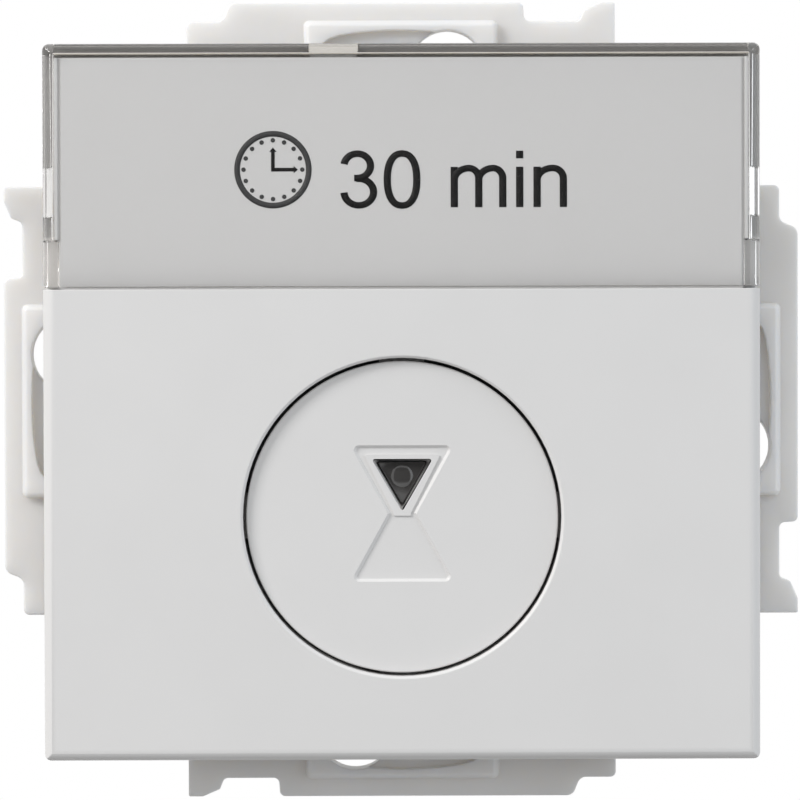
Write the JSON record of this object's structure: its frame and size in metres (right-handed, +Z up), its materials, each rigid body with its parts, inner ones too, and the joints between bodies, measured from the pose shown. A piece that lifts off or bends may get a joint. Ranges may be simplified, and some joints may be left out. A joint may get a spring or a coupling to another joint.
{
  "type": "timer light switch",
  "caption": "Flush wall timer switch: square cover with a sprung push button and a clear label window, on a support ring with keyholes and a rear housing with push-in terminals.",
  "frame": {"origin": "middle of the support ring, on the wall plane at its rear face", "axes": "+Z up, +X to the right seen from the room, +Y into the wall, so the front faces -Y"},
  "size_m": [0.071, 0.0355, 0.071],
  "materials": {
    "cover_plastic": "satin white moulding",
    "clear_plastic": "clear moulding",
    "card": "white card with dark print",
    "smoked_lens": "smoked clear",
    "spring_steel": "bright drawn wire and strip",
    "ring_plastic": "satin warm white moulding",
    "grey_plastic": "fine spark texture",
    "screw_steel": "zinc plated",
    "board_laminate": "solder resist",
    "black_plastic": "matt",
    "switch_metal": "satin",
    "lamp_plastic": "tinted clear",
    "relay_plastic": "satin",
    "film_plastic": "satin",
    "sleeve_plastic": "shrink sleeve",
    "varistor_coating": "dipped",
    "ferrite": "wound ferrite drum",
    "fuse_metal": "plated caps",
    "terminal_plastic": "moulded",
    "lever_plastic": "moulded",
    "contact_brass": "plated strip"
  },
  "bodies": {
    "base": {"cover_plate": "cover_plastic", "label_card": "card", "button_spring": "spring_steel", "support_ring": "ring_plastic", "front_frame": "grey_plastic", "rear_housing": "grey_plastic", "housing_screws": "screw_steel", "control_board": "board_laminate", "power_board": "board_laminate", "switch_body": "black_plastic", "indicator_lamp": "lamp_plastic", "controller_chip": "black_plastic", "board_header": "black_plastic", "relay": "relay_plastic", "film_capacitor": "film_plastic", "smoothing_capacitor": "sleeve_plastic", "varistor": "varistor_coating", "choke": "ferrite", "fuse": "fuse_metal", "contact_bars": "contact_brass", "terminal_live": "terminal_plastic", "clamp_spring_live": "spring_steel", "terminal_neutral": "terminal_plastic", "clamp_spring_neutral": "spring_steel", "terminal_load": "terminal_plastic", "clamp_spring_load": "spring_steel", "terminal_remote": "terminal_plastic", "clamp_spring_remote": "spring_steel"},
    "window": {"label_window": "clear_plastic"},
    "button": {"push_button": "cover_plastic", "light_guide": "smoked_lens"},
    "plunger": {"switch_plunger": "switch_metal"},
    "lever_live": {"release_lever_live": "lever_plastic"},
    "lever_neutral": {"release_lever_neutral": "lever_plastic"},
    "lever_load": {"release_lever_load": "lever_plastic"},
    "lever_remote": {"release_lever_remote": "lever_plastic"}
  },
  "joints": [
    {"name": "button_press", "type": "slide", "parent": "base", "child": "button", "axis": [0, 1, 0], "range_m": [0, 0.001], "stiffness_N_per_m": 1500, "deforming": ["button_spring"]},
    {"name": "switch_press", "type": "slide", "parent": "base", "child": "plunger", "axis": [0, 1, 0], "range_m": [0, 0.001]},
    {"name": "window_lift", "type": "slide", "parent": "base", "child": "window", "axis": [0, -1, 0], "range_m": [0, 0.012]},
    {"name": "release_live", "type": "slide", "parent": "base", "child": "lever_live", "axis": [0, -1, 0], "range_m": [0, 0.001], "stiffness_N_per_m": 4000, "deforming": ["clamp_spring_live"]},
    {"name": "release_neutral", "type": "slide", "parent": "base", "child": "lever_neutral", "axis": [0, -1, 0], "range_m": [0, 0.001], "stiffness_N_per_m": 4000, "deforming": ["clamp_spring_neutral"]},
    {"name": "release_load", "type": "slide", "parent": "base", "child": "lever_load", "axis": [0, -1, 0], "range_m": [0, 0.001], "stiffness_N_per_m": 4000, "deforming": ["clamp_spring_load"]},
    {"name": "release_remote", "type": "slide", "parent": "base", "child": "lever_remote", "axis": [0, -1, 0], "range_m": [0, 0.001], "stiffness_N_per_m": 4000, "deforming": ["clamp_spring_remote"]}
  ],
  "couplings": [
    {"joint": "switch_press", "follows": "button_press", "ratio": 1}
  ]
}
